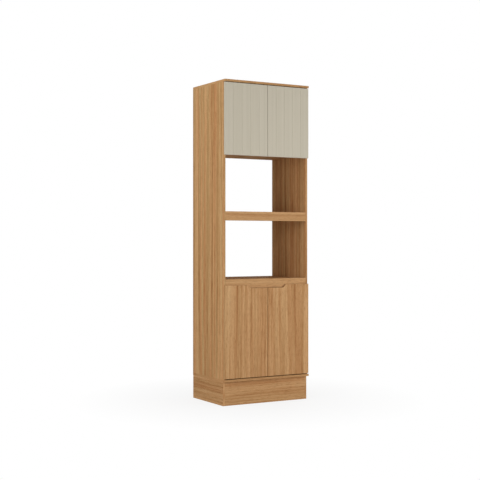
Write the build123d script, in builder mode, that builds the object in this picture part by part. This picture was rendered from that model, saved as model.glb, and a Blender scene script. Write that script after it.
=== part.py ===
from build123d import *
import os
from math import sqrt

# Tall kitchen cabinet for two built-in ovens: a plinth, two doors below, two open niches one above
# the other, and two grooved doors on top. Laminated boards stand on each other and are joined by
# cam locks and wood dowels.
# Lengths are in millimetres. X runs across the front, Y from the front to the back, Z upwards.
# The origin is on the floor, in the middle of the outer box, and the doors face -Y.

# Outer sizes
width = 700.0
height = 2290.0
carcass_depth = 470.0  # from the front edges of the sides to the outer face of the back sheets
front_overhang = 20.0  # how far the top and bottom boards pass the front edges of the sides
board = 15.0  # thickness of every laminated board
back_sheet = 3.0  # thickness of the hardboard backs
edge_round = 0.5  # rounding of the front edges

# Plinth
plinth_height = 170.0
plinth_recess = 10.0  # plinth front behind the front edges of the sides
plinth_inset = 1.5  # plinth sides in from the outer faces of the cabinet
plinth_dowel_offset = 50.0  # dowels above and below the cam lock at each plinth corner

# Levels of the niches
niche_floor_height = 888.0  # top of the lower niche's floor above the ground
lower_niche_height = 414.0
upper_niche_height = 414.0
rail_height = 49.0  # front rails under the niche floor and the middle shelf
rear_rail_height = 40.0
wall_rail_height = 60.0

# Loose shelf of the lower compartment
inner_shelf_lift = 320.0  # its underside above the bottom board
inner_shelf_setback = 25.0  # its front edge behind the front edges of the sides
inner_shelf_play = 1.0  # gap between the loose shelf and each wall beside it
shelf_pin_radius = 2.5
shelf_pin_sunk = 8.0
shelf_pin_out = 7.0
shelf_pin_tab = 2.0  # thickness of the flat tab under the shelf
shelf_pin_tab_width = 9.0

# Doors
door_gap = 2.0  # between the back of a closed door and the front edges of the sides
side_reveal = 1.5  # door edge in from the outer face of the side
centre_gap = 3.0
door_top_gap = 5.0  # upper doors below the top board
door_bottom_gap = 6.0  # lower doors above the bottom board
finger_drop = 18.5  # upper doors hang this far below the upper floor, as a finger grip
floor_shown = 43.5  # height of the niche floor and its rail left showing over the lower doors

# Grooves of the upper doors
slats = 5
groove_width = 2.4
groove_depth = 1.2

# Finger notch across the top edges of the lower doors
notch_depth = 21.5
notch_floor_half = 137.0
notch_top_half = 157.0
notch_round = 12.0  # inner corner, at the end of the notch floor
notch_lip_round = 6.0  # outer corner, at the top edge of the door
notch_back_chamfer = 5.0  # bevel along the notch floor on the back of the door

# Cam locks, cam bolts and dowels
cam_radius = 7.5
cam_thickness = 12.0
cam_pocket_depth = 12.5
cam_distance = 34.0  # from the end of the board to the centre of the cam
cam_slot = 1.2
bolt_radius = 3.0
bolt_bore_radius = 4.0
bolt_head_radius = 3.4
bolt_head_length = 4.0
bolt_thread_radius = 2.5
bolt_anchor = 11.0
dowel_radius = 4.0
dowel_anchor = 9.0
dowel_reach = 20.0
fastener_play = 0.1  # radial play of everything that sits in a drilled hole
fix_inset = 60.0  # cam locks from the front and rear edges of a board
fix_spacing = 32.0  # from a cam lock to the dowel beside it
rail_fix_offset = 11.0  # cam lock above and dowel below the middle of a rail
rail_dowel_x = 160.0  # dowels between a rail and the board over it

# Nails of the back sheets
nail_radius = 0.8
nail_length = 15.0
nail_head_radius = 1.8
nail_head = 0.6
sheet_inset = 2.0  # edges of a back sheet in from the outer faces
nail_x = (-250.0, -85.0, 85.0, 250.0)
nail_end = 90.0  # first and last side nail from the ends of a sheet
lower_side_nails = 4
upper_side_nails = 3

# Wall fixing rail
wall_hole_spacing = 500.0
wall_hole_radius = 3.0

# Brackets between the plinth and the bottom board
bracket_leg = 30.0
bracket_width = 25.0
bracket_thickness = 2.0
bracket_x = 220.0
bracket_bend = 1.5

# Countersunk and pan head screws
screw_radius = 1.75
screw_reach = 10.0
screw_head_radius = 3.5
screw_head = 1.0
screw_slot = 0.8
screw_slot_depth = 0.5

# Cup hinges
hinge_from_end = 100.0  # hinge centres from the top and bottom ends of a door
cup_radius = 17.5
cup_edge = 3.0  # rim of the cup hole from the edge of the door
cup_skin = 3.0  # wood left in front of the cup
cup_wall = 0.8
rim_width = 1.2
rim_thickness = 0.8
ear_height = 2.0  # ears that hold the pin, above the pin axis
ear_width = 2.6
flange_length = 57.0
flange_width = 17.0
flange_round = 4.0
flange_offset = 9.5  # screws from the middle of the cup, away from the edge of the door
flange_screw_half = 22.5
pin_radius = 1.1
pin_play = 0.05
swing_clearance = 0.3  # between the turning edge of the door and the front of the side
arm_thickness = 1.5
arm_nose_width = 6.0
arm_eye_wall = 0.75
arm_neck_near = 4.0
arm_neck_step = 3.0
arm_floor_gap = 0.5  # under the neck of the arm, inside the cup
arm_bend = 1.2
arm_ear_gap = 0.3
arm_width = 14.0
arm_flange = 1.2
arm_start = 5.0  # wide part of the arm, behind the front edge of the side
arm_length = 62.0  # rear end of the arm, behind the front edge of the side
plate_distance = 37.0  # screws of the mounting plate, behind the front edge of the side
plate_thickness = 2.0
plate_height = 48.0
plate_width = 16.0
plate_block = 2.25
plate_block_width = 9.0
plate_block_half = 18.0
plate_screw_half = 16.0
plate_gap = 0.3
arm_screw_step = 12.0  # arm screws in front of and behind the plate screws
arm_screw_radius = 2.0
arm_screw_head_radius = 3.2
arm_screw_head = 1.5

# Door bumpers
bumper_radius = 4.0
bumper_play = 0.3
bumper_edge = 30.0  # bumpers from the hinge edge, and from the meeting edge of an upper door
notch_bumper_gap = 25.0  # bumper of a lower door beside the notch

# Places that follow from the sizes
half_width = width / 2
inner_x = half_width - board
y_front = -(carcass_depth + front_overhang) / 2
y_carcass = y_front + front_overhang
y_back = y_carcass + carcass_depth
y_rear = y_back - back_sheet
y_door_back = y_carcass - door_gap
y_door_front = y_door_back - board

z_bottom_top = plinth_height + board
z_floor_under = niche_floor_height - board
z_floor_rail = z_floor_under - rail_height
z_middle_rail = niche_floor_height + lower_niche_height
z_middle_under = z_middle_rail + rail_height
z_middle_top = z_middle_under + board
z_upper_under = z_middle_top + upper_niche_height
z_upper_top = z_upper_under + board
z_top_under = height - board
z_inner_shelf = z_bottom_top + inner_shelf_lift

plinth_x = half_width - plinth_inset - board
plinth_y = y_carcass + plinth_recess

door_outer_x = half_width - side_reveal
door_inner_x = centre_gap / 2
door_width = door_outer_x - door_inner_x
lower_door_z = (z_bottom_top + door_bottom_gap, niche_floor_height - floor_shown)
upper_door_z = (z_upper_under - finger_drop, z_top_under - door_top_gap)

# The door turns on a pin in the middle of its thickness. The pin stands as far in from the door's
# edge as the turning edge can be while it clears the front of the side.
pin_from_edge = sqrt(door_gap * (door_gap + board)) - swing_clearance
pin_x = door_outer_x - pin_from_edge
pin_y = y_door_back - board / 2
cup_x = pin_x - (cup_radius + cup_edge - pin_from_edge)
cup_depth = board - cup_skin
flange_x = cup_x - flange_offset
arm_x = inner_x - plate_thickness - plate_block - arm_thickness / 2
plate_y = y_carcass + plate_distance

front_fix = y_carcass + fix_inset
rear_fix = y_rear - fix_inset
cam_rows = (front_fix, rear_fix)
dowel_rows = (front_fix + fix_spacing, rear_fix - fix_spacing)
sides = {"left": -1, "right": 1}


def slab(x, y, z):
    """A board between two X, two Y and two Z planes."""
    with Locations(((x[0] + x[1]) / 2, (y[0] + y[1]) / 2, (z[0] + z[1]) / 2)):
        Box(x[1] - x[0], y[1] - y[0], z[1] - z[0])


def round_front(piece):
    """Rounds the edges of the face that looks forwards."""
    fillet(piece.faces().sort_by(Axis.Y)[0].edges(), radius=edge_round)


# A joint is a plane on the face where two boards meet. Its normal points into the board that holds
# the cam lock, along the bolt, and its X direction points to the face that the cam lock opens on.
def end_joint(side, y, z, opens):
    """The end of a cross board against the inner face of a side panel."""
    return Plane(origin=(side * inner_x, y, z), x_dir=opens, z_dir=(-side, 0, 0))


def stand_joint(side, y, z, up):
    """The end of a side panel on the bottom board or under the top board."""
    return Plane(origin=(side * (inner_x + board / 2), y, z), x_dir=(-side, 0, 0), z_dir=(0, 0, up))


def plinth_joint(side, y, z, opens):
    """The end of a cross board of the plinth against a plinth side."""
    return Plane(origin=(side * plinth_x, y, z), x_dir=(0, opens, 0), z_dir=(-side, 0, 0))


def rail_joint(x, y, z):
    """The top edge of a rail under the board that it stiffens."""
    return Plane(origin=(x, y, z), x_dir=(0, 1, 0), z_dir=(0, 0, -1))


def anchor_holes(cams, dowels):
    """Holes in the board that the bolts and dowels are set in."""
    if cams:
        with Locations(*cams):
            with Locations((0, 0, -(bolt_anchor + fastener_play) / 2)):
                Cylinder(bolt_thread_radius + fastener_play, bolt_anchor + fastener_play, mode=Mode.SUBTRACT)
    with Locations(*dowels):
        with Locations((0, 0, -(dowel_anchor + fastener_play) / 2)):
            Cylinder(dowel_radius + fastener_play, dowel_anchor + fastener_play, mode=Mode.SUBTRACT)


def cam_holes(cams, dowels):
    """Bolt bores, cam pockets and dowel holes in the end of a board."""
    if cams:
        with Locations(*cams):
            with Locations((0, 0, cam_distance / 2)):
                Cylinder(bolt_bore_radius, cam_distance, mode=Mode.SUBTRACT)
            with Locations(((board - cam_pocket_depth) / 2, 0, cam_distance)):
                Cylinder(cam_radius + fastener_play, cam_pocket_depth, rotation=(0, 90, 0), mode=Mode.SUBTRACT)
    with Locations(*dowels):
        with Locations((0, 0, (dowel_reach + fastener_play) / 2)):
            Cylinder(dowel_radius + fastener_play, dowel_reach + fastener_play, mode=Mode.SUBTRACT)


def drill(planes, radius, depth):
    """Holes that start on the planes and run along their normals."""
    with Locations(*planes):
        with Locations((0, 0, depth / 2)):
            Cylinder(radius, depth, mode=Mode.SUBTRACT)


def cross_board_joints(z, up):
    """Cam and dowel joints at both ends of a flat board at mid height z."""
    cams = {side: [end_joint(side, y, z, (0, 0, up)) for y in cam_rows] for side in sides.values()}
    dowels = {side: [end_joint(side, y, z, (0, 0, up)) for y in dowel_rows] for side in sides.values()}
    return cams, dowels


def rail_end_joints(y, z, opens):
    """One cam lock and one dowel at each end of an upright rail."""
    cams = {side: [end_joint(side, y, z + rail_fix_offset, (0, opens, 0))] for side in sides.values()}
    dowels = {side: [end_joint(side, y, z - rail_fix_offset, (0, opens, 0))] for side in sides.values()}
    return cams, dowels


def both(joints):
    """The joints of the left and the right end in one list."""
    return joints[-1] + joints[1]


rail_y = y_carcass + board / 2
rear_rail_y = y_rear - board / 2

floor_cams, floor_dowels = cross_board_joints(niche_floor_height - board / 2, -1)
middle_cams, middle_dowels = cross_board_joints(z_middle_top - board / 2, -1)
upper_cams, upper_dowels = cross_board_joints(z_upper_top - board / 2, 1)
floor_rail_cams, floor_rail_dowels = rail_end_joints(rail_y, z_floor_rail + rail_height / 2, 1)
middle_rail_cams, middle_rail_dowels = rail_end_joints(rail_y, z_middle_rail + rail_height / 2, 1)
rear_rail_cams, rear_rail_dowels = rail_end_joints(rear_rail_y, z_middle_under - rear_rail_height / 2, -1)
wall_rail_cams, wall_rail_dowels = rail_end_joints(rear_rail_y, z_top_under - wall_rail_height / 2, -1)
side_cam_sets = (floor_cams, middle_cams, upper_cams)
side_cam_sets += (floor_rail_cams, middle_rail_cams, rear_rail_cams, wall_rail_cams)
side_dowel_sets = (floor_dowels, middle_dowels, upper_dowels)
side_dowel_sets += (floor_rail_dowels, middle_rail_dowels, rear_rail_dowels, wall_rail_dowels)

foot_cams = {s: [stand_joint(s, y, z_bottom_top, 1) for y in cam_rows] for s in sides.values()}
foot_dowels = {s: [stand_joint(s, y, z_bottom_top, 1) for y in dowel_rows] for s in sides.values()}
head_cams = {s: [stand_joint(s, y, z_top_under, -1) for y in cam_rows] for s in sides.values()}
head_dowels = {s: [stand_joint(s, y, z_top_under, -1) for y in dowel_rows] for s in sides.values()}

plinth_rows = {1: plinth_y + board / 2, -1: y_rear - board / 2}
plinth_levels = (plinth_height / 2 - plinth_dowel_offset, plinth_height / 2 + plinth_dowel_offset)
plinth_cams = {
    opens: {s: [plinth_joint(s, y, plinth_height / 2, opens)] for s in sides.values()}
    for opens, y in plinth_rows.items()
}
plinth_dowels = {
    opens: {s: [plinth_joint(s, y, z, opens) for z in plinth_levels] for s in sides.values()}
    for opens, y in plinth_rows.items()
}

rail_dowel_places = (-rail_dowel_x, rail_dowel_x)
floor_edge_dowels = [rail_joint(x, rail_y, z_floor_under) for x in rail_dowel_places]
middle_edge_dowels = [rail_joint(x, rail_y, z_middle_under) for x in rail_dowel_places]
rear_edge_dowels = [rail_joint(x, rear_rail_y, z_middle_under) for x in rail_dowel_places]
wall_edge_dowels = [rail_joint(x, rear_rail_y, z_top_under) for x in rail_dowel_places]


# Nails go in from behind. Each plane lies on the outer face of a back sheet, looking forwards.
def nail(x, z):
    return Plane(origin=(x, y_back, z), x_dir=(1, 0, 0), z_dir=(0, -1, 0))


def nail_column(side, low, high, count):
    """Nails up the rear edge of a side panel, evenly spaced between two heights."""
    step = (high - low) / (count - 1)
    return [nail(side * (half_width - board / 2), low + i * step) for i in range(count)]


lower_sheet_z = (plinth_height + sheet_inset, niche_floor_height - sheet_inset)
upper_sheet_z = (z_upper_under + sheet_inset, height - sheet_inset)
bottom_nails = [nail(x, plinth_height + board / 2) for x in nail_x]
floor_nails = [nail(x, niche_floor_height - board / 2) for x in nail_x]
upper_floor_nails = [nail(x, z_upper_under + board / 2) for x in nail_x]
top_nails = [nail(x, height - board / 2) for x in nail_x]
lower_column = {
    s: nail_column(s, lower_sheet_z[0] + nail_end, lower_sheet_z[1] - nail_end, lower_side_nails)
    for s in sides.values()
}
upper_column = {
    s: nail_column(s, upper_sheet_z[0] + nail_end, upper_sheet_z[1] - nail_end, upper_side_nails)
    for s in sides.values()
}
nail_reach = nail_length + fastener_play

# Screws of the hinge plates, of the brackets, and the pins of the loose shelf
hinge_heights = {
    "lower": (lower_door_z[0] + hinge_from_end, lower_door_z[1] - hinge_from_end),
    "upper": (upper_door_z[0] + hinge_from_end, upper_door_z[1] - hinge_from_end),
}
all_hinge_heights = hinge_heights["lower"] + hinge_heights["upper"]


def plate_screw_planes(side):
    """On the outer face of the mounting plates, looking into the side panel."""
    return [
        Plane(origin=(side * (inner_x - plate_thickness), plate_y, z + dz), x_dir=(0, 1, 0), z_dir=(side, 0, 0))
        for z in all_hinge_heights
        for dz in (-plate_screw_half, plate_screw_half)
    ]


def shelf_pin_planes(side):
    """On the inner face of a side panel, looking into the panel."""
    z = z_inner_shelf - shelf_pin_radius
    return [Plane(origin=(side * inner_x, y, z), x_dir=(0, 1, 0), z_dir=(side, 0, 0)) for y in cam_rows]


bracket_places = [
    (x, y, into)
    for x in (-bracket_x, bracket_x)
    for y, into in ((plinth_y + board, -1), (y_rear - board, 1))
]
bracket_up = [
    Plane(origin=(x, y - into * bracket_leg / 2, plinth_height - bracket_thickness), z_dir=(0, 0, 1))
    for x, y, into in bracket_places
]
bracket_out = [
    Plane(
        origin=(x, y - into * bracket_thickness, plinth_height - bracket_leg / 2),
        x_dir=(1, 0, 0),
        z_dir=(0, into, 0),
    )
    for x, y, into in bracket_places
]

os.makedirs("parts", exist_ok=True)

# Plinth: two side boards with the front and back boards between them
for name, side in sides.items():
    with BuildPart() as plinth_side:
        outer = side * (plinth_x + board)
        slab(sorted((side * plinth_x, outer)), (plinth_y, y_rear), (0, plinth_height))
        round_front(plinth_side)
        anchor_holes(
            plinth_cams[1][side] + plinth_cams[-1][side], plinth_dowels[1][side] + plinth_dowels[-1][side]
        )
    plinth_side.part.label = f"plinth_side_{name}"
    export_step(plinth_side.part, f"parts/plinth_side_{name}.step")

with BuildPart() as plinth_front:
    slab((-plinth_x, plinth_x), (plinth_y, plinth_y + board), (0, plinth_height))
    round_front(plinth_front)
    cam_holes(both(plinth_cams[1]), both(plinth_dowels[1]))
    drill([p for p, place in zip(bracket_out, bracket_places) if place[2] < 0],
          screw_radius + fastener_play, bracket_thickness + screw_reach)
plinth_front.part.label = "plinth_front"
export_step(plinth_front.part, "parts/plinth_front.step")

with BuildPart() as plinth_back:
    slab((-plinth_x, plinth_x), (y_rear - board, y_rear), (0, plinth_height))
    cam_holes(both(plinth_cams[-1]), both(plinth_dowels[-1]))
    drill([p for p, place in zip(bracket_out, bracket_places) if place[2] > 0],
          screw_radius + fastener_play, bracket_thickness + screw_reach)
plinth_back.part.label = "plinth_back"
export_step(plinth_back.part, "parts/plinth_back.step")

# Bottom and top boards, full width, passing the front of the sides
with BuildPart() as bottom_panel:
    slab((-half_width, half_width), (y_front, y_rear), (plinth_height, z_bottom_top))
    round_front(bottom_panel)
    anchor_holes(both(foot_cams), both(foot_dowels))
    drill(bottom_nails, nail_radius + fastener_play, nail_reach)
    drill(bracket_up, screw_radius + fastener_play, bracket_thickness + screw_reach)
bottom_panel.part.label = "bottom_panel"
export_step(bottom_panel.part, "parts/bottom_panel.step")

with BuildPart() as top_panel:
    slab((-half_width, half_width), (y_front, y_rear), (z_top_under, height))
    round_front(top_panel)
    anchor_holes(both(head_cams), both(head_dowels) + wall_edge_dowels)
    drill(top_nails, nail_radius + fastener_play, nail_reach)
top_panel.part.label = "top_panel"
export_step(top_panel.part, "parts/top_panel.step")

# Side panels stand between the bottom and top boards
for name, side in sides.items():
    with BuildPart() as side_panel:
        slab(sorted((side * inner_x, side * half_width)), (y_carcass, y_rear), (z_bottom_top, z_top_under))
        round_front(side_panel)
        cam_holes(foot_cams[side] + head_cams[side], foot_dowels[side] + head_dowels[side])
        anchor_holes(
            [joint for cams in side_cam_sets for joint in cams[side]],
            [joint for dowels in side_dowel_sets for joint in dowels[side]],
        )
        drill(lower_column[side] + upper_column[side], nail_radius + fastener_play, nail_reach)
        drill(plate_screw_planes(side), screw_radius + fastener_play, plate_thickness + screw_reach)
        drill(shelf_pin_planes(side), shelf_pin_radius + fastener_play, shelf_pin_sunk + fastener_play)
    side_panel.part.label = f"side_panel_{name}"
    export_step(side_panel.part, f"parts/side_panel_{name}.step")

# Floor of the lower niche with its front rail
with BuildPart() as niche_floor:
    slab((-inner_x, inner_x), (y_carcass, y_rear), (z_floor_under, niche_floor_height))
    round_front(niche_floor)
    cam_holes(both(floor_cams), both(floor_dowels))
    anchor_holes([], floor_edge_dowels)
    drill(floor_nails, nail_radius + fastener_play, nail_reach)
niche_floor.part.label = "niche_floor"
export_step(niche_floor.part, "parts/niche_floor.step")

with BuildPart() as niche_floor_rail:
    slab((-inner_x, inner_x), (y_carcass, y_carcass + board), (z_floor_rail, z_floor_under))
    round_front(niche_floor_rail)
    cam_holes(both(floor_rail_cams), both(floor_rail_dowels))
    cam_holes([], floor_edge_dowels)
niche_floor_rail.part.label = "niche_floor_rail"
export_step(niche_floor_rail.part, "parts/niche_floor_rail.step")

# Shelf between the niches with its front and rear rails
with BuildPart() as middle_shelf:
    slab((-inner_x, inner_x), (y_carcass, y_rear), (z_middle_under, z_middle_top))
    round_front(middle_shelf)
    cam_holes(both(middle_cams), both(middle_dowels))
    anchor_holes([], middle_edge_dowels + rear_edge_dowels)
middle_shelf.part.label = "middle_shelf"
export_step(middle_shelf.part, "parts/middle_shelf.step")

with BuildPart() as middle_shelf_rail:
    slab((-inner_x, inner_x), (y_carcass, y_carcass + board), (z_middle_rail, z_middle_under))
    round_front(middle_shelf_rail)
    cam_holes(both(middle_rail_cams), both(middle_rail_dowels))
    cam_holes([], middle_edge_dowels)
middle_shelf_rail.part.label = "middle_shelf_rail"
export_step(middle_shelf_rail.part, "parts/middle_shelf_rail.step")

with BuildPart() as middle_shelf_rear_rail:
    slab((-inner_x, inner_x), (y_rear - board, y_rear), (z_middle_under - rear_rail_height, z_middle_under))
    cam_holes(both(rear_rail_cams), both(rear_rail_dowels))
    cam_holes([], rear_edge_dowels)
middle_shelf_rear_rail.part.label = "middle_shelf_rear_rail"
export_step(middle_shelf_rear_rail.part, "parts/middle_shelf_rear_rail.step")

# Floor of the upper compartment
with BuildPart() as upper_floor:
    slab((-inner_x, inner_x), (y_carcass, y_rear), (z_upper_under, z_upper_top))
    round_front(upper_floor)
    cam_holes(both(upper_cams), both(upper_dowels))
    drill(upper_floor_nails, nail_radius + fastener_play, nail_reach)
upper_floor.part.label = "upper_floor"
export_step(upper_floor.part, "parts/upper_floor.step")

# Rail at the top rear, for the two screws that hold the cabinet to the wall
wall_holes = [
    Plane(origin=(x, y_rear - board, z_top_under - wall_rail_height / 2), z_dir=(0, 1, 0))
    for x in (-wall_hole_spacing / 2, wall_hole_spacing / 2)
]
with BuildPart() as wall_fixing_rail:
    slab((-inner_x, inner_x), (y_rear - board, y_rear), (z_top_under - wall_rail_height, z_top_under))
    cam_holes(both(wall_rail_cams), both(wall_rail_dowels))
    cam_holes([], wall_edge_dowels)
    drill(wall_holes, wall_hole_radius, board + back_sheet)
wall_fixing_rail.part.label = "wall_fixing_rail"
export_step(wall_fixing_rail.part, "parts/wall_fixing_rail.step")

# Hardboard sheets close the two compartments from behind
sheet_x = (-half_width + sheet_inset, half_width - sheet_inset)
with BuildPart() as lower_back:
    slab(sheet_x, (y_rear, y_back), lower_sheet_z)
    lower_nails = bottom_nails + floor_nails + both(lower_column)
    drill(lower_nails, nail_radius + fastener_play, back_sheet)
    drill(lower_nails, nail_head_radius + fastener_play, nail_head)
lower_back.part.label = "lower_back"
export_step(lower_back.part, "parts/lower_back.step")

with BuildPart() as upper_back:
    slab(sheet_x, (y_rear, y_back), upper_sheet_z)
    upper_nails = upper_floor_nails + top_nails + both(upper_column)
    drill(upper_nails, nail_radius + fastener_play, back_sheet)
    drill(upper_nails, nail_head_radius + fastener_play, nail_head)
    drill(wall_holes, wall_hole_radius, board + back_sheet)
upper_back.part.label = "upper_back"
export_step(upper_back.part, "parts/upper_back.step")

with BuildPart() as back_nails:
    with Locations(*(lower_nails + upper_nails)):
        with Locations((0, 0, nail_head / 2)):
            Cylinder(nail_head_radius, nail_head)
        with Locations((0, 0, nail_length / 2)):
            Cylinder(nail_radius, nail_length)
back_nails.part.label = "back_nails"
export_step(back_nails.part, "parts/back_nails.step")

# Loose shelf on four pins with flat tabs
with BuildPart() as lower_inner_shelf:
    slab(
        (-inner_x + inner_shelf_play, inner_x - inner_shelf_play),
        (y_carcass + inner_shelf_setback, y_rear - inner_shelf_play),
        (z_inner_shelf, z_inner_shelf + board),
    )
    round_front(lower_inner_shelf)
lower_inner_shelf.part.label = "lower_inner_shelf"
export_step(lower_inner_shelf.part, "parts/lower_inner_shelf.step")

with BuildPart() as shelf_pins:
    for side in sides.values():
        with Locations(*shelf_pin_planes(side)):
            with Locations((0, 0, (shelf_pin_sunk - shelf_pin_out) / 2)):
                Cylinder(shelf_pin_radius, shelf_pin_sunk + shelf_pin_out)
        tab_x = side * (inner_x - shelf_pin_out / 2)
        with Locations(*[(tab_x, y, z_inner_shelf - shelf_pin_tab / 2) for y in cam_rows]):
            Box(shelf_pin_out, shelf_pin_tab_width, shelf_pin_tab)
shelf_pins.part.label = "shelf_pins"
export_step(shelf_pins.part, "parts/shelf_pins.step")

# Cam locks, bolts and dowels
all_cams = [joint for cams in side_cam_sets for joint in both(cams)] + both(foot_cams) + both(head_cams)
all_cams += both(plinth_cams[1]) + both(plinth_cams[-1])
all_dowels = [joint for dowels in side_dowel_sets for joint in both(dowels)]
all_dowels += both(foot_dowels) + both(head_dowels) + both(plinth_dowels[1]) + both(plinth_dowels[-1])
all_dowels += floor_edge_dowels + middle_edge_dowels + rear_edge_dowels + wall_edge_dowels
cam_face = board / 2 - (cam_pocket_depth - cam_thickness) / 2
cam_window = cam_radius + bolt_head_length / 2 + fastener_play

with BuildPart() as cam_locks:
    with Locations(*all_cams):
        with Locations((cam_face - cam_thickness / 2, 0, cam_distance)):
            Cylinder(cam_radius, cam_thickness, rotation=(0, 90, 0))
        with Locations((0, 0, cam_distance - cam_radius + cam_window / 2)):
            Cylinder(bolt_bore_radius, cam_window, mode=Mode.SUBTRACT)
        with Locations((cam_face - cam_slot / 2, 0, cam_distance)):
            Box(cam_slot, 2 * bolt_bore_radius, cam_slot, mode=Mode.SUBTRACT)
cam_locks.part.label = "cam_locks"
export_step(cam_locks.part, "parts/cam_locks.step")

with BuildPart() as cam_bolts:
    shank = cam_distance - bolt_head_length / 2
    with Locations(*all_cams):
        with Locations((0, 0, -bolt_anchor / 2)):
            Cylinder(bolt_thread_radius, bolt_anchor)
        with Locations((0, 0, shank / 2)):
            Cylinder(bolt_radius, shank)
        with Locations((0, 0, cam_distance)):
            Cylinder(bolt_head_radius, bolt_head_length)
cam_bolts.part.label = "cam_bolts"
export_step(cam_bolts.part, "parts/cam_bolts.step")

with BuildPart() as wood_dowels:
    with Locations(*all_dowels):
        with Locations((0, 0, (dowel_reach - dowel_anchor) / 2)):
            Cylinder(dowel_radius, dowel_anchor + dowel_reach)
wood_dowels.part.label = "wood_dowels"
export_step(wood_dowels.part, "parts/wood_dowels.step")

# Steel angles under the bottom board, with one screw in each leg
with BuildPart() as plinth_brackets:
    for x, y, into in bracket_places:
        with BuildSketch(Plane(origin=(x - bracket_width / 2, y, plinth_height), x_dir=(0, -into, 0),
                               z_dir=(into, 0, 0))) as angle:
            with BuildLine():
                Polyline(
                    (0, 0),
                    (bracket_leg, 0),
                    (bracket_leg, bracket_thickness),
                    (bracket_thickness, bracket_thickness),
                    (bracket_thickness, bracket_leg),
                    (0, bracket_leg),
                    close=True,
                )
            make_face()
            fillet(angle.vertices().sort_by_distance((bracket_thickness, bracket_thickness))[0], bracket_bend)
        extrude(amount=into * bracket_width)
    drill(bracket_up + bracket_out, screw_radius + fastener_play, bracket_thickness)
plinth_brackets.part.label = "plinth_brackets"
export_step(plinth_brackets.part, "parts/plinth_brackets.step")


def screws(planes, reach, head_radius=screw_head_radius, head=screw_head, radius=screw_radius):
    """Pan head screws: the head stands on the plane and the shank follows its normal."""
    with Locations(*planes):
        with Locations((0, 0, -head / 2)):
            Cylinder(head_radius, head)
        with Locations((0, 0, reach / 2)):
            Cylinder(radius, reach)
        with Locations((0, 0, -head + screw_slot_depth / 2)):
            Box(head_radius, screw_slot, screw_slot_depth, mode=Mode.SUBTRACT)
            Box(screw_slot, head_radius, screw_slot_depth, mode=Mode.SUBTRACT)


with BuildPart() as bracket_screws:
    screws(bracket_up + bracket_out, bracket_thickness + screw_reach - fastener_play)
bracket_screws.part.label = "bracket_screws"
export_step(bracket_screws.part, "parts/bracket_screws.step")


# Doors. The hinge edge is the outer edge, and everything is laid out with the side as a sign.
def door_blank(side, z):
    slab(sorted((side * door_inner_x, side * door_outer_x)), (y_door_front, y_door_back), z)


def bumper_planes(side, level):
    """On the back of the door, looking back towards the board that the door closes on."""
    edge_x = door_outer_x - bumper_edge
    if level == "upper":
        places = [(door_inner_x + bumper_edge, z_upper_under + board / 2), (edge_x, z_upper_under + board / 2)]
    else:
        z = (z_floor_rail + lower_door_z[1]) / 2
        places = [(notch_top_half + notch_bumper_gap, z), (edge_x, z)]
    return [Plane(origin=(side * x, y_door_back, z), z_dir=(0, 1, 0)) for x, z in places]


def cup_planes(side, level):
    """In the middle of each cup hole, on the back of the door, looking into the door."""
    return [
        Plane(origin=(side * cup_x, y_door_back, z), x_dir=(side, 0, 0), z_dir=(0, -1, 0))
        for z in hinge_heights[level]
    ]


def flange_screw_planes(side, level, y):
    return [
        Plane(origin=(side * flange_x, y, z + dz), x_dir=(1, 0, 0), z_dir=(0, -1, 0))
        for z in hinge_heights[level]
        for dz in (-flange_screw_half, flange_screw_half)
    ]


def hinge_holes(side, level):
    drill(cup_planes(side, level), cup_radius, cup_depth)
    drill(flange_screw_planes(side, level, y_door_back), screw_radius + fastener_play, screw_reach)


groove_step = door_width / slats
for name, side in sides.items():
    with BuildPart() as upper_door:
        door_blank(side, upper_door_z)
        round_front(upper_door)
        for i in range(1, slats):
            groove_x = side * (door_inner_x + i * groove_step)
            with BuildSketch(Plane.XY.offset(upper_door_z[0])):
                with BuildLine():
                    Polyline(
                        (groove_x - groove_width / 2, y_door_front),
                        (groove_x, y_door_front + groove_depth),
                        (groove_x + groove_width / 2, y_door_front),
                        close=True,
                    )
                make_face()
            extrude(amount=upper_door_z[1] - upper_door_z[0], mode=Mode.SUBTRACT)
        hinge_holes(side, "upper")
    upper_door.part.label = f"upper_door_{name}"
    export_step(upper_door.part, f"parts/upper_door_{name}.step")

for name, side in sides.items():
    with BuildPart() as lower_door:
        door_blank(side, lower_door_z)
        notch_floor = lower_door_z[1] - notch_depth
        with BuildSketch(Plane.XZ.offset(-y_door_back)) as notch:
            with BuildLine():
                Polyline(
                    (0, lower_door_z[1]),
                    (side * notch_top_half, lower_door_z[1]),
                    (side * notch_floor_half, notch_floor),
                    (0, notch_floor),
                    close=True,
                )
            make_face()
            fillet(notch.vertices().sort_by_distance((side * notch_floor_half, notch_floor))[0], notch_round)
        extrude(amount=board, mode=Mode.SUBTRACT)
        lip = (side * notch_top_half, y_door_front + board / 2, lower_door_z[1])
        fillet(lower_door.edges().filter_by(Axis.Y).sort_by_distance(lip)[0], notch_lip_round)
        notch_edge = (
            lower_door.edges()
            .filter_by(Axis.X)
            .filter_by_position(Axis.Z, notch_floor - edge_round, notch_floor + edge_round)
            .sort_by(Axis.Y)[-1]
        )
        chamfer(notch_edge, notch_back_chamfer)
        round_front(lower_door)
        hinge_holes(side, "lower")
    lower_door.part.label = f"lower_door_{name}"
    export_step(lower_door.part, f"parts/lower_door_{name}.step")

# Cup hinges. In the plane of a hinge, X points from the door's middle to its edge and Z into the
# door. The arm is drawn from above: across the cabinet from the pin, and back from the pin.
cup_floor = cup_depth - cup_wall
pin_in_cup = pin_x - cup_x
neck_deep = board / 2 - cup_skin - cup_wall - arm_thickness / 2 - arm_floor_gap
riser = pin_x - arm_x
ear_inner = arm_nose_width / 2 + arm_ear_gap
arm_eye = pin_radius + pin_play + arm_eye_wall
pin_length = 2 * (ear_inner + ear_width) - arm_ear_gap


def arm_point(side, across, back):
    return (side * (pin_x - across), pin_y + back)


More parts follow.
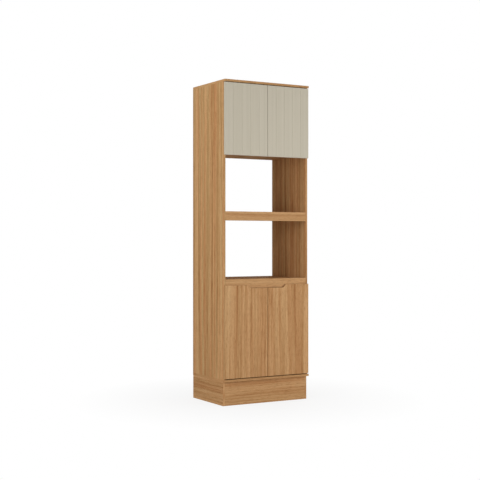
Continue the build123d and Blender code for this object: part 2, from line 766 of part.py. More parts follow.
for level, heights in hinge_heights.items():
    for name, side in sides.items():
        hinge = f"{level}_{name}_hinge"

        # Pressed cup with a rim, a flange for two screws, two ears for the pin, and a window in the
        # wall where the eye of the arm turns
        with BuildPart() as hinge_cups:
            for plane in cup_planes(side, level):
                with BuildSketch(plane):
                    Circle(cup_radius - fastener_play)
                extrude(amount=cup_depth - fastener_play)
                with BuildSketch(plane) as rim:
                    Circle(cup_radius + rim_width)
                    with Locations((-flange_offset, 0)):
                        RectangleRounded(flange_width, flange_length, flange_round)
                extrude(amount=-rim_thickness)
                with BuildSketch(plane.offset(-rim_thickness)):
                    Circle(cup_radius - cup_wall)
                    with Locations((cup_radius, 0)):
                        Rectangle(cup_radius, 2 * ear_inner)
                    with Locations(*[(pin_in_cup, s * (ear_inner + ear_width / 2)) for s in (-1, 1)]):
                        Rectangle(2 * arm_eye + ear_width, ear_width, mode=Mode.SUBTRACT)
                extrude(amount=cup_floor + rim_thickness, mode=Mode.SUBTRACT)
                with BuildSketch(plane.offset(-rim_thickness)):
                    Circle(cup_radius - cup_wall)
                extrude(amount=board / 2 - ear_height + rim_thickness, mode=Mode.SUBTRACT)
            with Locations(*[(side * pin_x, pin_y, z) for z in heights]):
                Cylinder(pin_radius + pin_play, pin_length + arm_ear_gap, mode=Mode.SUBTRACT)
            drill(flange_screw_planes(side, level, y_door_back + rim_thickness),
                  screw_radius + fastener_play, rim_thickness)
        hinge_cups.part.label = f"{hinge}_cups"
        export_step(hinge_cups.part, f"parts/{hinge}_cups.step")

        with BuildPart() as hinge_pins:
            with Locations(*[(side * pin_x, pin_y, z) for z in heights]):
                Cylinder(pin_radius, pin_length)
        hinge_pins.part.label = f"{hinge}_pins"
        export_step(hinge_pins.part, f"parts/{hinge}_pins.step")

        with BuildPart() as cup_screws:
            screws(flange_screw_planes(side, level, y_door_back + rim_thickness),
                   rim_thickness + screw_reach - fastener_play)
        cup_screws.part.label = f"{hinge}_cup_screws"
        export_step(cup_screws.part, f"parts/{hinge}_cup_screws.step")

        # Cranked arm: an eye on the pin, a neck that dips into the cup, a riser out of it, and a
        # channel that sits over the mounting plate
        with BuildPart() as hinge_arms:
            for z in heights:
                with BuildSketch(Plane.XY.offset(z - arm_nose_width / 2)):
                    with BuildLine():
                        FilletPolyline(
                            arm_point(side, 0, 0),
                            arm_point(side, arm_neck_near, -neck_deep),
                            arm_point(side, riser - arm_neck_step, -neck_deep),
                            arm_point(side, riser, 0),
                            (side * arm_x, y_carcass + arm_start + arm_bend),
                            radius=arm_bend,
                        )
                    trace(line_width=arm_thickness)
                    with Locations((side * pin_x, pin_y)):
                        Circle(arm_eye)
                        Circle(pin_radius + pin_play, mode=Mode.SUBTRACT)
                extrude(amount=arm_nose_width)
                arm_y = (y_carcass + arm_start, y_carcass + arm_length)
                slab(
                    sorted((side * (arm_x - arm_thickness / 2), side * (arm_x + arm_thickness / 2))),
                    arm_y,
                    (z - arm_width / 2, z + arm_width / 2),
                )
                flange_x_span = sorted((side * arm_x, side * (inner_x - plate_thickness - plate_gap)))
                slab(flange_x_span, arm_y, (z - arm_width / 2, z - arm_width / 2 + arm_flange))
                slab(flange_x_span, arm_y, (z + arm_width / 2 - arm_flange, z + arm_width / 2))
            arm_screw_planes = [
                Plane(origin=(side * (arm_x - arm_thickness / 2), plate_y + dy, z), x_dir=(0, 1, 0),
                      z_dir=(side, 0, 0))
                for z in heights
                for dy in (-arm_screw_step, arm_screw_step)
            ]
            drill(arm_screw_planes, arm_screw_radius + fastener_play, arm_thickness)
        hinge_arms.part.label = f"{hinge}_arms"
        export_step(hinge_arms.part, f"parts/{hinge}_arms.step")

        with BuildPart() as hinge_plates:
            for z in heights:
                plate_x = sorted((side * inner_x, side * (inner_x - plate_thickness)))
                slab(plate_x, (plate_y - plate_width / 2, plate_y + plate_width / 2),
                     (z - plate_height / 2, z + plate_height / 2))
                block_x = sorted((side * inner_x, side * (inner_x - plate_thickness - plate_block)))
                slab(block_x, (plate_y - plate_block_half, plate_y + plate_block_half),
                     (z - plate_block_width / 2, z + plate_block_width / 2))
            drill([p for p in plate_screw_planes(side) if abs(p.origin.Z - heights[0]) < hinge_from_end
                   or abs(p.origin.Z - heights[1]) < hinge_from_end],
                  screw_radius + fastener_play, plate_thickness)
            drill(arm_screw_planes, arm_screw_radius + fastener_play,
                  arm_thickness + plate_block + plate_thickness)
        hinge_plates.part.label = f"{hinge}_plates"
        export_step(hinge_plates.part, f"parts/{hinge}_plates.step")

        with BuildPart() as arm_screws:
            screws(arm_screw_planes, arm_thickness + plate_block + plate_thickness - plate_gap,
                   arm_screw_head_radius, arm_screw_head, arm_screw_radius)
        arm_screws.part.label = f"{hinge}_arm_screws"
        export_step(arm_screws.part, f"parts/{hinge}_arm_screws.step")

        with BuildPart() as bumpers:
            with Locations(*bumper_planes(side, level)):
                with Locations((0, 0, (door_gap - bumper_play) / 2)):
                    Cylinder(bumper_radius, door_gap - bumper_play)
        bumpers.part.label = f"{level}_{name}_bumpers"
        export_step(bumpers.part, f"parts/{level}_{name}_bumpers.step")

with BuildPart() as plate_screws:
    screws(plate_screw_planes(-1) + plate_screw_planes(1), plate_thickness + screw_reach - fastener_play)
plate_screws.part.label = "plate_screws"
export_step(plate_screws.part, "parts/plate_screws.step")
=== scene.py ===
# %% [markdown]
# # A tall kitchen cabinet for two ovens
#
# The real cabinet is flat-pack furniture: 15 mm particle board faced with a printed wood film, and
# four hinged doors. Every board, hinge and fitting is already here as a solid of the right size.
# Each could be modelled again with finer edges, but then it might leave the place where its solid
# moves and touches. So this lesson keeps the solids as they are and gives each its real finish.

# %% The frame and the size of the whole cabinet
import math

import bmesh
import bpy
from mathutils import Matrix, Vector

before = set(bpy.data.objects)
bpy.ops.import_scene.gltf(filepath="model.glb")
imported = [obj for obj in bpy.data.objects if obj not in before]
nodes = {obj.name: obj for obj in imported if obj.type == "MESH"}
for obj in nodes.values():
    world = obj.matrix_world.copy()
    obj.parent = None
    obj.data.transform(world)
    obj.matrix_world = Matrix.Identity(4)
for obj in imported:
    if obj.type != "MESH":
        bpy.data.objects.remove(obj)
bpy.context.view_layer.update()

# %% [markdown]
# ## Colours
#
# Colours are easiest to judge as the hex values of a paint chart. The renderer works in linear
# light, where half as much light is half the number. Each colour could be converted by hand, but
# then nobody could read it, so one function converts them all.


# %% From a paint chart to linear light
def tone(hex_colour):
    """Turns an sRGB hex colour into the linear colour that shaders use."""
    channels = [int(hex_colour[i : i + 2], 16) / 255 for i in (1, 3, 5)]
    linear = [c / 12.92 if c <= 0.04045 else ((c + 0.055) / 1.055) ** 2.4 for c in channels]
    return (*linear, 1.0)


print("paper white in linear light", [round(c, 2) for c in tone("#F2F0EC")])

# %% [markdown]
# ## Materials made of nodes
#
# A material is a graph of patterns and colour ramps that ends in a shader. It could be drawn in the
# node editor, but written out it can be read and repeated. One function adds any node, with its
# settings, the stops of its colour ramp, and a value or another node's output for each input.
#
# A Mix node has a pair of inputs for each kind of data: numbers at places 2 and 3, vectors at 4 and
# 5, colours at 6 and 7. Its outputs are the number, the vector and the colour, in that order.


# %% One function for every node
def feed(tree, node, **inputs):
    """Gives inputs a value or an output. They go by name, or as i0, i1 by place."""
    for key, value in inputs.items():
        socket = node.inputs[int(key[1:]) if key[1:].isdigit() else key.replace("_", " ")]
        if isinstance(value, bpy.types.NodeSocket):
            tree.links.new(value, socket)
        else:
            socket.default_value = value


def add_node(tree, kind, settings=None, stops=(), **inputs):
    """Adds a node with its settings, colour stops and inputs, and gives back its outputs."""
    node = tree.nodes.new("ShaderNode" + kind)
    for key, value in (settings or {}).items():
        setattr(node, key, value)
    for place, colour in stops:
        spare = [e for e in node.color_ramp.elements if e.position in (0.0, 1.0)]
        element = spare[0] if spare else node.color_ramp.elements.new(place)
        element.position = place
        element.color = colour
    feed(tree, node, **inputs)
    return node.outputs


# Settings that many nodes share
MULTIPLY = {"operation": "MULTIPLY"}
MULTIPLY_ADD = {"operation": "MULTIPLY_ADD"}
ABOVE = {"operation": "GREATER_THAN"}
COLOURS = {"data_type": "RGBA"}

# Most of a noise lies in this range, which a Map Range node turns into a range of dullness
FROM_NOISE = {"From_Min": 0.3, "From_Max": 0.7}
print("most of a noise lies from", FROM_NOISE["From_Min"], "to", FROM_NOISE["From_Max"])

# %% [markdown]
# ## Dressing a solid
#
# Every finish starts as the same blank material: a shader and an output, with nothing to feed
# them yet. A finished material goes into the one slot of each solid that wears it. Faces could get
# slots of their own, but that would change the solid's mesh.


# %% A blank material, and putting it on
def blank_material(name):
    """A node material with a shader and an output, and the tree to build in."""
    material = bpy.data.materials.new(name)
    material.use_nodes = True
    tree = material.node_tree
    tree.nodes.clear()
    shader = tree.nodes.new("ShaderNodeBsdfPrincipled")
    add_node(tree, "OutputMaterial", Surface=shader.outputs[0])
    return material, tree, shader


def dress(material, *names):
    """Gives pieces their finish."""
    for name in names:
        slots = nodes[name].data.materials
        slots.clear()
        slots.append(material)
    print(material.name + ", pieces:", len(names))


print("pieces to dress", len(nodes))

# %% [markdown]
# ## Wood film
#
# The boards are faced with printed paper sealed in melamine. The print shows veneer, and veneer
# shows how a knife met a log. A flat pattern could be laid on each face, but it would break at the
# board's edges. So the material is a log, and each board cuts its own place of it. In the log run
# broad bands, streaks and hairlines of denser wood, all very long, with a trace of growth rings.
# They sway together a little, because no tree grows quite straight.
#
# The film is matt and almost without shine. What the eye gets from it is the figure, a brown that
# drifts between warm and cool, and fine dark pores, which are pressed in very lightly.

# %% The size of each mark, across the grain
MM = 0.001
RING = 24 * MM
BAND = 58 * MM
STREAK = 13 * MM
HAIRLINE = 3.4 * MM
WARMTH = 30 * MM
PORE = 1.3 * MM  # real pores are 0.3 mm wide, drawn coarser so that they show
CHIP = 1.6 * MM
SWAY = 22 * MM  # the most that the grain leaves a straight line
SWAY_ACROSS = 500 * MM
SWAY_ALONG = 625 * MM
print("marks from", PORE / MM, "to", BAND / MM, "mm wide")

# %% The colours of the film, and of bare particle board
FILM_TONES = (
    (0.34, tone("#94643D")),
    (0.43, tone("#B08256")),
    (0.51, tone("#BF9467")),
    (0.63, tone("#D0A779")),
)
COOL_TO_WARM = ((0.38, tone("#F6FDF8")), (0.62, tone("#FFF3EC")))
PORE_TONE = tone("#7A4A26")
CHIP_TONES = ((0.3, tone("#8A6A44")), (0.5, tone("#B7976B")), (0.7, tone("#CFB388")))
print("darkest and lightest film", [round(FILM_TONES[i][1][0], 2) for i in (0, -1)], "in red")

# %% [markdown]
# ## A board's place in the log
#
# The turn sends the board's grain to the log's axis, and the cut is the way from the heart of the
# log to the board. Stretching the log's coordinates along the axis makes every mark long. The
# narrow ends of a board wear an edge band, whose print has next to no figure, so there the marks
# are made very wide instead.

# %% Where each point of a board lies in the log
STRETCH = 0.014  # the smaller, the longer each mark
SIDE_STRETCH = 0.010
DOOR_STRETCH = 0.012
STUBBY = 2.6  # hairlines and pores are this many times less drawn out than streaks
PLAIN = 0.05  # an edge band's marks are twenty times as wide as a face's
FACING = 0.7  # a face looks along an axis if its normal has this much of it


def place_in_log(tree, spot, turn, cut, stretch):
    """Coordinates for long marks and for short ones, and a mask that is 1 on the board's ends."""
    placed = add_node(tree, "Mapping", Vector=spot["Object"], Rotation=turn, Location=cut)[0]
    slowness = (1 / SWAY_ACROSS, 1 / SWAY_ACROSS, 1 / SWAY_ALONG)
    slow = add_node(tree, "Mapping", Vector=placed, Scale=slowness)[0]
    sway = add_node(tree, "TexNoise", Vector=slow, Scale=1.0, Detail=2.0)["Color"]
    sway = add_node(tree, "VectorMath", {"operation": "SCALE"}, Vector=sway, Scale=SWAY)[0]
    swayed = add_node(tree, "VectorMath", {"operation": "ADD"}, i0=placed, i1=sway)[0]
    long_grain = add_node(tree, "Mapping", Vector=swayed, Scale=(1, 1, stretch))[0]
    edge_band = add_node(tree, "Mapping", Vector=placed, Scale=(PLAIN, PLAIN, 1))[0]

    normals = {"vector_type": "NORMAL"}
    facing = add_node(tree, "Mapping", normals, Vector=spot["Normal"], Rotation=turn)[0]
    along = add_node(tree, "SeparateXYZ", Vector=facing)["Z"]
    along = add_node(tree, "Math", {"operation": "ABSOLUTE"}, i0=along)[0]
    ends = add_node(tree, "Math", ABOVE, i0=along, i1=FACING)[0]

    vectors = {"data_type": "VECTOR"}
    long_place = add_node(tree, "Mix", vectors, Factor=ends, i4=long_grain, i5=edge_band)[1]
    short_place = add_node(tree, "VectorMath", MULTIPLY, i0=long_place, i1=(1, 1, STUBBY))[0]
    return long_place, short_place, ends


print("a streak on a door is", STREAK / MM, "mm wide and", round(STREAK / DOOR_STRETCH, 1), "m long")

# %% [markdown]
# ## The figure of the wood
#
# Bands, streaks, hairlines and rings could each have a colour of their own. Real wood has one
# colour that gets darker where it is denser, so here they add up to one number, and one ramp turns
# that number into the colours of the film.

# %% Bands, streaks, hairlines and rings added up
STREAK_SHARE = 0.38
HAIRLINE_SHARE = 0.26
BAND_AND_RING_SHARE = 0.36
RING_SHARE = 0.03
DOOR_RING_SHARE = 0.045
PLINTH_RING_SHARE = 0.09


def figure_of_wood(tree, long_place, short_place, ring_share, contrast):
    """How pale the wood is, around a middle of 0.5, and the streaks by themselves."""
    rings = add_node(
        tree,
        "TexWave",
        {"wave_type": "RINGS", "rings_direction": "Z", "wave_profile": "SAW"},
        Vector=long_place,
        Scale=math.pi / (10 * RING),
        Distortion=5.0,
        Detail=2.0,
        Detail_Scale=0.8,
    )["Fac"]
    bands = add_node(tree, "TexNoise", Vector=long_place, Scale=1 / BAND, Detail=1.0)["Fac"]
    streaks = add_node(tree, "TexNoise", Vector=long_place, Scale=1 / STREAK, Detail=3.0)["Fac"]
    hairlines = add_node(
        tree, "TexNoise", Vector=short_place, Scale=1 / HAIRLINE, Detail=2.0
    )["Fac"]

    figure = 0.0
    for mark, share in (
        (rings, ring_share),
        (bands, BAND_AND_RING_SHARE - ring_share),
        (streaks, STREAK_SHARE),
        (hairlines, HAIRLINE_SHARE),
    ):
        figure = add_node(tree, "Math", MULTIPLY_ADD, i0=mark, i1=share, i2=figure)[0]
    middle = 0.5 * (1 - contrast)
    figure = add_node(tree, "Math", MULTIPLY_ADD, i0=figure, i1=contrast, i2=middle)[0]
    return figure, streaks


print("shares add up to", round(BAND_AND_RING_SHARE + STREAK_SHARE + HAIRLINE_SHARE, 3))

# %% [markdown]
# ## Bare rear edges
#
# The large boards are bare on the edge that faces the wall, where nobody sees it. There the
# particle board shows: pale and brown chips of wood, rough and without shine. A noise would blur
# them into clouds. A Voronoi pattern fits, because it cuts the surface into separate chips.

# %% The chips on a board's rear edge
BOARD = 15 * MM
CHIP_DULLNESS = 0.9


def bare_chips(tree, spot, colour, dull, relief):
    """Colour, dullness and relief, with chips in them where a face looks to the wall."""
    rear = add_node(tree, "SeparateXYZ", Vector=spot["Normal"])["Y"]
    rear = add_node(tree, "Math", ABOVE, i0=rear, i1=FACING)[0]
    chips = add_node(tree, "TexVoronoi", Vector=spot["Object"], Scale=1 / CHIP)["Color"]
    chips = add_node(tree, "SeparateXYZ", Vector=chips)["X"]
    chip_tone = add_node(tree, "ValToRGB", stops=CHIP_TONES, Fac=chips)["Color"]
    colour = add_node(tree, "Mix", COLOURS, Factor=rear, i6=colour, i7=chip_tone)[2]
    dull = add_node(tree, "Mix", Factor=rear, i2=dull, i3=CHIP_DULLNESS)[0]
    relief = add_node(tree, "Mix", Factor=rear, i2=relief, i3=chips)[0]
    return colour, dull, relief


print("chips across a board's edge", round(BOARD / CHIP))

# %% [markdown]
# ## The whole film
#
# The figure gives the colour, and a noise of its own tints it. The tint could be in the same ramp,
# but wood of one darkness can be warm or cool. `blush` is how strong the tint is. Pores are the
# peaks of a fine noise, so they are sparse. They darken the film and dent it, except on the edge
# bands. The roughness follows the streaks, which breaks up the little shine there is.

# %% The film material
PORE_PEAKS = {"From_Min": 0.56, "From_Max": 0.68, "To_Min": 0.0, "To_Max": 0.5}


def wood_film(
    name, turn, cut, contrast, bare_rear=False, ring_share=RING_SHARE, stretch=STRETCH, blush=0.25
):
    """Film on a board that is cut from one place of the log, in metres."""
    material, tree, shader = blank_material(name)
    spot = add_node(tree, "TexCoord")
    long_place, short_place, ends = place_in_log(tree, spot, turn, cut, stretch)
    figure, streaks = figure_of_wood(tree, long_place, short_place, ring_share, contrast)
    colour = add_node(tree, "ValToRGB", stops=FILM_TONES, Fac=figure)["Color"]

    warmth = add_node(tree, "TexNoise", Vector=long_place, Scale=1 / WARMTH, Detail=1.0)["Fac"]
    tint = add_node(tree, "ValToRGB", stops=COOL_TO_WARM, Fac=warmth)["Color"]
    tinting = {"data_type": "RGBA", "blend_type": "MULTIPLY"}
    colour = add_node(tree, "Mix", tinting, Factor=blush, i6=colour, i7=tint)[2]

    pores = add_node(tree, "TexNoise", Vector=short_place, Scale=1 / PORE, Detail=1.0)["Fac"]
    pores = add_node(tree, "MapRange", Value=pores, **PORE_PEAKS)[0]
    faces = add_node(tree, "Math", {"operation": "SUBTRACT"}, i0=1.0, i1=ends)[0]
    pores = add_node(tree, "Math", MULTIPLY, i0=pores, i1=faces)[0]
    colour = add_node(tree, "Mix", COLOURS, Factor=pores, i6=colour, i7=PORE_TONE)[2]

    dull = add_node(tree, "MapRange", Value=streaks, To_Min=0.7, To_Max=0.82, **FROM_NOISE)[0]
    relief = add_node(tree, "Math", {"operation": "SUBTRACT"}, i0=1.0, i1=pores)[0]
    if bare_rear:
        colour, dull, relief = bare_chips(tree, spot, colour, dull, relief)
    bump = add_node(tree, "Bump", Height=relief, Strength=0.3, Distance=0.15 * MM)[0]
    feed(tree, shader, Base_Color=colour, Roughness=dull, Normal=bump, Specular_IOR_Level=0.03)
    return material


print("pores are where their noise passes", PORE_PEAKS["From_Min"])

# %% [markdown]
# ## One cut of the log for each board
#
# One cut could serve every board, but then neighbours would repeat. For the boards that the eye
# meets first, several cuts were tried, and the one kept has its pale and dark streaks about where
# the real board has them. The side panels have the strongest figure. The lower doors are calmer,
# and each is cut at a slight slant into the log, so that its streaks fade out along the board.

# %% Boards with upright grain
ALONG_Z = (0, 0, 0)
SLANT = math.radians(0.8)

for side, cut, contrast, blush in (
    ("left", (1.42, 0.76, 11.4), 1.3, 1.0),
    ("right", (-0.99, 0.59, 2.0), 1.05, 0.7),
):
    name = "wood film " + side + " side"
    film = wood_film(name, ALONG_Z, cut, contrast, True, RING_SHARE, SIDE_STRETCH, blush)
    dress(film, "side_panel_" + side)

for side, slant, cut, contrast in (
    ("left", SLANT, (1.15, 0.38, 3.0), 0.92),
    ("right", -SLANT, (0.09, 0.81, 6.8), 0.9),
):
    name = "wood film lower " + side + " door"
    film = wood_film(name, (slant, 0, 0), cut, contrast, False, DOOR_RING_SHARE, DOOR_STRETCH)
    dress(film, "lower_door_" + side)

# %% Boards with their grain from side to side
ALONG_X = (0, -math.pi / 2, 0)
BARE_AT_REAR = (
    "top_panel",
    "bottom_panel",
    "upper_floor",
    "middle_shelf",
    "niche_floor",
    "lower_inner_shelf",
)
EDGED_ALL_ROUND = (
    "middle_shelf_rail",
    "middle_shelf_rear_rail",
    "niche_floor_rail",
    "wall_fixing_rail",
    "plinth_front",
    "plinth_back",
)
CHOSEN_CUTS = {
    "middle_shelf_rail": (1.89, 0.38, 10.0),
    "niche_floor_rail": (0.82, 0.43, 5.7),
    "plinth_front": (-1.67, 0.31, 0.3),
}
# The other boards step on through the log, so that none repeats its neighbour
for i, name in enumerate(BARE_AT_REAR + EDGED_ALL_ROUND):
    next_cut = (0.5 + 0.37 * i, 0.4 + 0.11 * i, 2.0 * i)
    cut = CHOSEN_CUTS.get(name, next_cut)
    ring_share = PLINTH_RING_SHARE if name == "plinth_front" else RING_SHARE
    bare = name in BARE_AT_REAR
    film = wood_film(
        "wood film " + name, ALONG_X, cut, contrast=0.7, bare_rear=bare, ring_share=ring_share
    )
    dress(film, name)

# %% The plinth's sides, with their grain from front to back
ALONG_Y = (math.pi / 2, 0, 0)

for i, name in enumerate(("plinth_side_left", "plinth_side_right")):
    cut = (0.6 + 0.4 * i, 0.5, 3.0 * i)
    dress(wood_film("wood film " + name, ALONG_Y, cut, contrast=0.85), name)

# %% [markdown]
# ## Greige lacquer
#
# The upper doors are fibreboard, grooved with a V-cutter, primed with a roller and sprayed with
# matt lacquer between grey and beige. Lacquer could be one flat colour, and from far away it is.
# Close by, the eye gets a faint orange peel, and very slight upright streaks where the roller's
# primer lies under it. Both keep the doors from looking like paper.

# %% The lacquer on the upper doors
PEEL = 1.4 * MM
ROLLER = 17 * MM
STROKE = 0.01  # stretches a roller's streaks over the height of a door
GREIGE = ((0.3, tone("#BBB3A0")), (0.7, tone("#C1B9A7")))

lacquer, tree, shader = blank_material("matt greige lacquer")
spot = add_node(tree, "TexCoord")["Object"]
upright = add_node(tree, "Mapping", Vector=spot, Scale=(1, 1, STROKE))[0]
primer = add_node(tree, "TexNoise", Vector=upright, Scale=1 / ROLLER, Detail=2.0)["Fac"]
colour = add_node(tree, "ValToRGB", stops=GREIGE, Fac=primer)["Color"]
dull = add_node(tree, "MapRange", Value=primer, To_Min=0.5, To_Max=0.58, **FROM_NOISE)[0]
peel = add_node(tree, "TexNoise", Vector=spot, Scale=1 / PEEL, Detail=1.0)["Fac"]
bump = add_node(tree, "Bump", Height=peel, Strength=0.06, Distance=0.06 * MM)[0]
feed(tree, shader, Base_Color=colour, Roughness=dull, Normal=bump, Specular_IOR_Level=0.3)
dress(lacquer, "upper_door_left", "upper_door_right")

# %% [markdown]
# ## Hardboard
#
# The two thin back sheets are hardboard: wood fibre pressed under heat on a mesh screen. The face
# that looks to the wall keeps the raw brown of the fibre and the mark of the mesh. The face that
# looks into the cabinet is printed to match the boards, more simply than they are. Two materials
# would need the sheet's mesh to be split, so one material looks at each face's direction instead.

# %% The raw face of the back sheets
SCREEN = 1.5 * MM
FIBRE = 4 * MM
CLOUD = 180 * MM
RAW_TONES = ((0.3, tone("#7A5A3D")), (0.7, tone("#93714E")))

hardboard, tree, shader = blank_material("pressed hardboard")
spot = add_node(tree, "TexCoord")
place = spot["Object"]
fibre = add_node(
    tree, "TexNoise", Vector=place, Scale=1 / FIBRE, Detail=4.0, Roughness=0.7
)["Fac"]
cloud = add_node(tree, "TexNoise", Vector=place, Scale=1 / CLOUD, Detail=1.0)["Fac"]
felt = add_node(tree, "Mix", Factor=0.35, i2=fibre, i3=cloud)[0]
raw = add_node(tree, "ValToRGB", stops=RAW_TONES, Fac=felt)["Color"]
wires = [
    add_node(
        tree, "TexWave", {"bands_direction": way}, Vector=place, Scale=math.pi / (10 * SCREEN)
    )["Fac"]
    for way in ("X", "Z")
]
screen = add_node(tree, "Math", MULTIPLY, i0=wires[0], i1=wires[1])[0]
print("wires of the screen in 100 mm", round(100 * MM / SCREEN))

# %% The printed face, and the whole sheet
upright = add_node(tree, "Mapping", Vector=place, Scale=(1, 1, DOOR_STRETCH))[0]
streaks = add_node(tree, "TexNoise", Vector=upright, Scale=1 / STREAK, Detail=3.0)["Fac"]
hairlines = add_node(tree, "TexNoise", Vector=upright, Scale=1 / HAIRLINE, Detail=2.0)["Fac"]
printed = add_node(tree, "Mix", Factor=0.55, i2=streaks, i3=hairlines)[0]
faced = add_node(tree, "ValToRGB", stops=FILM_TONES, Fac=printed)["Color"]
inward = add_node(tree, "SeparateXYZ", Vector=spot["Normal"])["Y"]
inward = add_node(tree, "Math", {"operation": "LESS_THAN"}, i0=inward, i1=-FACING)[0]
colour = add_node(tree, "Mix", COLOURS, Factor=inward, i6=raw, i7=faced)[2]
relief = add_node(tree, "Mix", Factor=inward, i2=screen, i3=fibre)[0]
bump = add_node(tree, "Bump", Height=relief, Strength=0.25, Distance=0.2 * MM)[0]
dull = add_node(tree, "MapRange", Value=fibre, To_Min=0.6, To_Max=0.8, **FROM_NOISE)[0]
feed(tree, shader, Base_Color=colour, Roughness=dull, Normal=bump)
dress(hardboard, "lower_back", "upper_back")

# %% [markdown]
# ## Metals
#
# Four metals are in the fittings. Hinges are stamped steel with bright nickel. Screws, brackets and
# shelf pins are steel with clear zinc, which is bluer and duller and has a crystal mottle. Cam
# locks are cast zinc, grey and grainy. Nails are drawn steel, darker and plain. Each could be built
# by itself, but they differ only in colour, in dullness and in the size of their marks, so one
# function makes all four.


# %% One function for the fittings' metals
def fitting_metal(name, dark, light, dullness, mark, relief):
    """Metal whose colour and dullness drift over marks of one size, in metres."""
    material, tree, shader = blank_material(name)
    spot = add_node(tree, "TexCoord")["Object"]
    mottle = add_node(tree, "TexNoise", Vector=spot, Scale=1 / mark, Detail=3.0)["Fac"]
    tones = ((0.3, tone(dark)), (0.7, tone(light)))
    colour = add_node(tree, "ValToRGB", stops=tones, Fac=mottle)["Color"]
    low, high = dullness
    dull = add_node(tree, "MapRange", Value=mottle, To_Min=low, To_Max=high, **FROM_NOISE)[0]
    fine = add_node(tree, "TexNoise", Vector=spot, Scale=4 / mark, Detail=1.0)["Fac"]
    bump = add_node(tree, "Bump", Height=fine, Strength=relief, Distance=0.05 * MM)[0]
    feed(tree, shader, Base_Color=colour, Roughness=dull, Normal=bump, Metallic=1.0)
    return material


nickel = fitting_metal(
    "nickel plated hinge steel", "#A9A7A2", "#C6C4BE", (0.2, 0.34), 5 * MM, 0.05
)
zinc = fitting_metal("clear zinc plated steel", "#9AA0A6", "#BCC1C4", (0.28, 0.46), 2.5 * MM, 0.12)
cast = fitting_metal("cast zinc", "#85878A", "#A2A4A6", (0.42, 0.6), 1.2 * MM, 0.3)
drawn = fitting_metal("drawn nail steel", "#6F7072", "#8E8F91", (0.35, 0.5), 2 * MM, 0.1)
print("metals", [metal.name for metal in (nickel, zinc, cast, drawn)])

# %% The metals on the fittings
hinge_pieces = [name for name in nodes if "_hinge_" in name]
dress(nickel, *[name for name in hinge_pieces if "screws" not in name])
dress(zinc, *[name for name in hinge_pieces if "screws" in name])
dress(zinc, "shelf_pins", "cam_bolts", "plinth_brackets", "bracket_screws", "plate_screws")
dress(cast, "cam_locks")
dress(drawn, "back_nails")

# %% [markdown]
# ## Beech dowels and clear bumpers
#
# Dowels are turned beech: pale pink-brown, with the short dark rays that tell beech from other
# woods. A dowel shows a few millimetres of grain at most, so spots do for the rays. The bumpers
# that quieten the doors are soft drops of clear polyurethane. Glass would be too sharp for them, so
# part of their light passes and a film of dust makes them dull in places.

# %% The dowels
RAY = 1.1 * MM
BEECH_TONES = ((0.35, tone("#B98E66")), (0.65, tone("#D8B48C")))

beech, tree, shader = blank_material("turned beech")
spot = add_node(tree, "TexCoord")["Object"]
rays = add_node(tree, "TexNoise", Vector=spot, Scale=1 / RAY, Detail=2.0)["Fac"]
colour = add_node(tree, "ValToRGB", stops=BEECH_TONES, Fac=rays)["Color"]
bump = add_node(tree, "Bump", Height=rays, Strength=0.1, Distance=0.1 * MM)[0]
feed(tree, shader, Base_Color=colour, Normal=bump, Roughness=0.6)
dress(beech, "wood_dowels")

# %% The bumpers
DUST = 2 * MM

clear, tree, shader = blank_material("clear polyurethane")
spot = add_node(tree, "TexCoord")["Object"]
dust = add_node(tree, "TexNoise", Vector=spot, Scale=1 / DUST, Detail=2.0)["Fac"]
dull = add_node(tree, "MapRange", Value=dust, To_Min=0.12, To_Max=0.3, **FROM_NOISE)[0]
feed(tree, shader, Base_Color=tone("#F1F1EE"), Roughness=dull, Transmission_Weight=0.8, IOR=1.49)
dress(clear, *[name for name in nodes if name.endswith("_bumpers")])

# %% [markdown]
# ## Camera
#
# The photograph is taken from the front left with a level camera, at half the cabinet's height. A
# level camera keeps upright edges upright. A tilted one would make them run together.

# %% The camera
EYE = (-3.8272, -6.5216, 1.16415)
TURN = -29.82  # degrees from looking straight at the doors
LENS = 77.15  # mm, on a sensor 36 mm wide

camera = bpy.data.objects.new("camera", bpy.data.cameras.new("camera"))
bpy.context.collection.objects.link(camera)
camera.location = EYE
camera.rotation_euler = (math.radians(90), 0, math.radians(TURN))
camera.data.lens = LENS
camera.data.sensor_width = 36
camera.data.clip_end = 100
bpy.context.scene.camera = camera
bpy.context.scene.view_settings.view_transform = "Standard"
print("camera", round(math.hypot(EYE[0], EYE[1]), 2), "m from the middle of the cabinet")

# %% [markdown]
# ## Light
#
# One small lamp would give hard shadows and leave a side in the dark. A furniture studio uses large
# soft lamps at the height of the piece instead, so that upright faces are even and the undersides
# of boards stay dark. The white surround adds about a seventh of what a bright white room would.
# The camera, metal and clear plastic see that surround as pure white.


# %% The white surround
def seen_directly(tree):
    """1 for camera rays, mirror rays and rays through glass, and 0 for the rest."""
    path = add_node(tree, "LightPath")
    seen = path["Is Camera Ray"]
    for other in ("Is Glossy Ray", "Is Transmission Ray"):
        seen = add_node(tree, "Math", {"operation": "MAXIMUM"}, i0=seen, i1=path[other])[0]
    return seen


FILL = 0.14
WHITE = (1, 1, 1, 1)
world = bpy.data.worlds.new("white surround")
bpy.context.scene.world = world
world.use_nodes = True
room = world.node_tree
room.nodes.clear()
level = add_node(room, "MapRange", Value=seen_directly(room), To_Min=FILL, To_Max=1.0)[0]
sky = add_node(room, "Background", Color=WHITE, Strength=level)[0]
add_node(room, "OutputWorld", Surface=sky)
print("the surround lights the cabinet with", FILL)


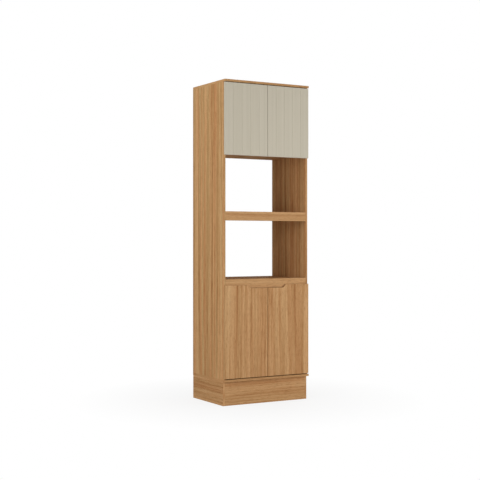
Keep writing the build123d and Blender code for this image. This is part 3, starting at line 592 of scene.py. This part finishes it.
# %% The soft lamps
def softbox(name, place, aim, size, power):
    """A square lamp turned towards a point, with its size in metres and its power in watts."""
    lamp = bpy.data.lights.new(name, "AREA")
    lamp.shape = "SQUARE"
    lamp.size = size
    lamp.energy = power
    holder = bpy.data.objects.new(name, lamp)
    bpy.context.collection.objects.link(holder)
    holder.location = place
    holder.rotation_euler = (Vector(aim) - Vector(place)).to_track_quat("-Z", "Y").to_euler()
    print(name, power, "W")


softbox("left lamp", (-4.3, -0.6, 3.2), (0, 0, 1.7), 2.4, 70)
softbox("front left lamp", (-4.1, -2.5, 1.6), (0, 0, 1.5), 2.3, 82)
softbox("front right lamp", (2.7, -4.0, 1.3), (0, 0, 1.25), 2.3, 113)
softbox("right lamp", (4.6, -0.4, 1.5), (0, 0, 1.2), 2.5, 45)
softbox("top lamp", (0, 0, 4.6), (0, 0, 0), 3.0, 20)
softbox("back lamp", (3.9, 3.0, 2.0), (0, 0, 1.3), 2.0, 45)

# %% [markdown]
# ## Floor
#
# The floor is plain and pale, lit by the lamps. It could be white by itself, but then it would
# throw too much light up under the boards. So it is light grey, and to the camera it glows white.
# Close to the cabinet it glows a little less, so that the cabinet's soft shadow stays on it.

# %% The floor
REACH = 30  # metres from the middle to each edge
NEAR = 0.3  # metres from the middle of the cabinet
FAR = 1.3

floor_mesh = bpy.data.meshes.new("floor")
work = bmesh.new()
bmesh.ops.create_grid(work, x_segments=1, y_segments=1, size=REACH)
work.to_mesh(floor_mesh)
work.free()
floor = bpy.data.objects.new("floor", floor_mesh)
bpy.context.collection.objects.link(floor)

pale, tree, shader = blank_material("pale studio floor")
feed(tree, shader, Base_Color=tone("#D2D2D2"), Roughness=0.8)
spot = add_node(tree, "TexCoord")["Object"]
away = add_node(tree, "VectorMath", {"operation": "LENGTH"}, i0=spot)["Value"]
fade = {"From_Min": NEAR, "From_Max": FAR, "To_Min": 0.85, "To_Max": 1.0}
share = add_node(tree, "MapRange", Value=away, **fade)[0]
share = add_node(tree, "Math", MULTIPLY, i0=seen_directly(tree), i1=share)[0]
glow = add_node(tree, "Emission", Color=WHITE, Strength=1.0)[0]
surface = add_node(tree, "MixShader", Fac=share, i1=shader.outputs[0], i2=glow)[0]
feed(tree, tree.get_output_node("ALL"), Surface=surface)
floor.data.materials.append(pale)
print("floor", [round(v) for v in floor.dimensions[:2]], "m")
